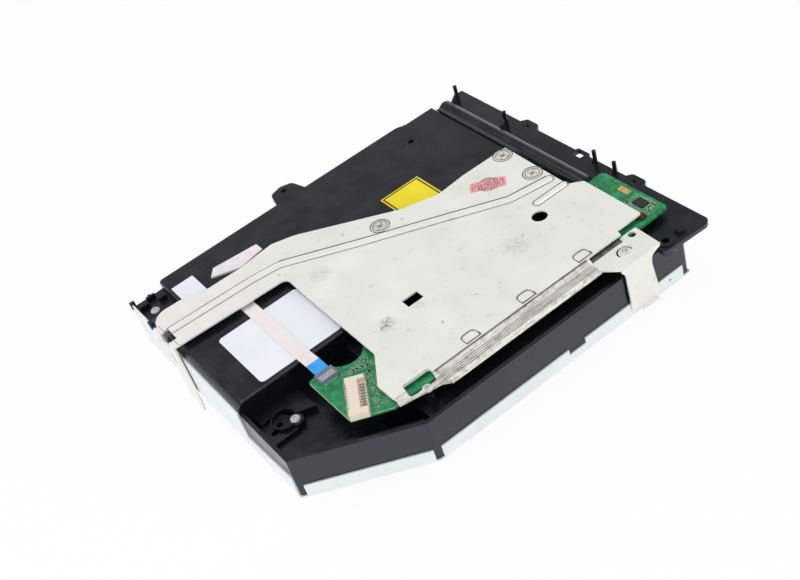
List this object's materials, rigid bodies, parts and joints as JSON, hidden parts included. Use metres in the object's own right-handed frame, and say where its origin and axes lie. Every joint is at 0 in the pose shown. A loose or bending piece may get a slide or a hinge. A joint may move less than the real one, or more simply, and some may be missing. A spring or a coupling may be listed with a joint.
{
  "type": "slot-loading optical disc drive",
  "caption": "Slot-loading optical drive of a console: black moulded chassis, folded steel cover, tinned bracket over a green board, with traverse, clamp and feed roller inside",
  "frame": {"origin": "on the outside face of the cover, under the middle of the housing", "axes": "+X to the disc slot, +Y to the back edge, +Z to the circuit board side"},
  "size_m": [0.2032, 0.1796, 0.0429],
  "materials": {
    "black_moulding": "black moulded ABS, semi-gloss",
    "galvanised_steel": "galvanised sheet",
    "tinned_steel": "tinned sheet, satin",
    "screw_steel": "nickel plated",
    "green_board": "green solder mask on glass epoxy",
    "ivory_nylon": "ivory nylon",
    "contact_metal": "tinned contacts",
    "dark_nylon": "dark grey nylon",
    "chip_epoxy": "black epoxy",
    "silicone_pad": "thermal silicone",
    "gold_plate": "gold plated",
    "component_ceramic": "ceramic chips",
    "ribbon_film": "white polyester film",
    "blue_film": "blue polyester stiffener",
    "white_label": "white film label",
    "yellow_label": "yellow film label",
    "pink_label": "pinkish film label",
    "grey_acetal": "natural acetal",
    "black_acetal": "black acetal",
    "sheet_steel": "zinc plated",
    "ground_steel": "ground steel",
    "motor_can": "zinc plated can",
    "sled_metal": "die cast",
    "roller_rubber": "black rubber",
    "lens_glass": "coated lens"
  },
  "bodies": {
    "housing": {"chassis": "black_moulding", "bottom_cover": "galvanised_steel", "lower_disc_guide": "black_acetal", "shield_bracket": "tinned_steel", "ground_bracket": "tinned_steel", "cover_screws": "screw_steel", "bracket_screws": "screw_steel", "case_screws": "screw_steel", "main_circuit_board": "green_board", "board_connector": "ivory_nylon", "connector_pins": "contact_metal", "ribbon_socket": "dark_nylon", "controller_chip": "chip_epoxy", "driver_chip": "chip_epoxy", "thermal_pad": "silicone_pad", "sensor_chip": "chip_epoxy", "gold_contact": "gold_plate", "small_components": "component_ceramic", "motor_ribbon_cable": "ribbon_film", "ribbon_stiffener": "blue_film", "label_white_large": "white_label", "label_white_small": "white_label", "label_yellow": "yellow_label", "label_folded": "pink_label", "hinge_pin": "ground_steel", "loading_motor": "motor_can", "sensor_board": "green_board", "disc_sensors": "chip_epoxy", "lever_clips": "grey_acetal"},
    "traverse": {"traverse_frame": "black_acetal", "guide_rods": "ground_steel", "spindle_motor": "sheet_steel", "sled_motor": "motor_can"},
    "spindle": {"spindle_rotor": "motor_can", "turntable": "black_acetal"},
    "sled": {"pickup_sled": "sled_metal", "feed_nut": "grey_acetal", "pickup_shield": "contact_metal"},
    "lens": {"lens_holder": "black_acetal", "objective_lens": "lens_glass"},
    "lead_screw": {"lead_screw": "ground_steel"},
    "cam": {"cam_slide": "grey_acetal"},
    "clamp": {"clamp_puck": "black_acetal", "clamp_cap": "black_acetal", "clamp_magnet": "ground_steel"},
    "carrier": {"roller_carrier": "sheet_steel"},
    "roller": {"feed_roller_shaft": "ground_steel", "feed_roller_rubber": "roller_rubber", "feed_roller_gear": "grey_acetal"},
    "idler": {"idler_gear": "grey_acetal"},
    "wheel": {"worm_wheel": "grey_acetal"},
    "worm": {"loading_worm": "ground_steel"},
    "lever_rear": {"disc_lever_rear": "black_acetal"},
    "lever_front": {"disc_lever_front": "black_acetal"}
  },
  "joints": [
    {"name": "traverse_lift", "type": "hinge", "parent": "housing", "child": "traverse", "pos_m": [-0.078, 0.007, 0.0143], "axis": [0, -1, 0], "range_deg": [0, 2.65]},
    {"name": "spindle_spin", "type": "hinge", "parent": "traverse", "child": "spindle", "pos_m": [0.018, 0.002, 0.009], "axis": [0, 0, 1], "continuous": true},
    {"name": "sled_travel", "type": "slide", "parent": "traverse", "child": "sled", "axis": [-1, 0, 0], "range_m": [0, 0.034]},
    {"name": "lens_focus", "type": "slide", "parent": "sled", "child": "lens", "axis": [0, 0, -1], "range_m": [-0.0005, 0.0005]},
    {"name": "lead_screw_turn", "type": "hinge", "parent": "traverse", "child": "lead_screw", "pos_m": [-0.03, 0.0325, 0.013], "axis": [1, 0, 0], "range_deg": [0, 4081]},
    {"name": "cam_travel", "type": "slide", "parent": "housing", "child": "cam", "axis": [0, 1, 0], "range_m": [0, 0.01201]},
    {"name": "clamp_spin", "type": "hinge", "parent": "housing", "child": "clamp", "pos_m": [0.018, 0.002, 0.003], "axis": [0, 0, 1], "continuous": true},
    {"name": "roller_drop", "type": "hinge", "parent": "housing", "child": "carrier", "pos_m": [0.0701, 0.002, 0.0135], "axis": [0, 1, 0], "range_deg": [0, 9.09]},
    {"name": "roller_spin", "type": "hinge", "parent": "carrier", "child": "roller", "pos_m": [0.0815, 0.002, 0.0135], "axis": [0, 1, 0], "continuous": true},
    {"name": "idler_spin", "type": "hinge", "parent": "housing", "child": "idler", "pos_m": [0.0701, 0.0655, 0.0135], "axis": [0, 1, 0], "continuous": true},
    {"name": "worm_wheel_spin", "type": "hinge", "parent": "housing", "child": "wheel", "pos_m": [0.06025, 0.0703, 0.01086], "axis": [0, 1, 0], "continuous": true},
    {"name": "worm_spin", "type": "hinge", "parent": "housing", "child": "worm", "pos_m": [0.06025, 0.0703, 0.01871], "axis": [1, 0, 0], "continuous": true},
    {"name": "rear_lever_swing", "type": "hinge", "parent": "housing", "child": "lever_rear", "pos_m": [-0.037, 0.054, 0.0087], "axis": [0, 0, 1], "range_deg": [0, 25]},
    {"name": "front_lever_swing", "type": "hinge", "parent": "housing", "child": "lever_front", "pos_m": [-0.0355, -0.05, 0.0087], "axis": [0, 0, -1], "range_deg": [0, 25]}
  ],
  "couplings": [
    {"joint": "cam_travel", "follows": "traverse_lift", "m_per_rad": 0.25945},
    {"joint": "roller_drop", "follows": "traverse_lift", "ratio": 3.4264},
    {"joint": "lead_screw_turn", "follows": "sled_travel", "rad_per_m": 2094.4},
    {"joint": "worm_wheel_spin", "follows": "worm_spin", "ratio": 0.055556},
    {"joint": "idler_spin", "follows": "worm_spin", "ratio": -0.023148},
    {"joint": "roller_spin", "follows": "worm_spin", "ratio": 0.039683}
  ]
}
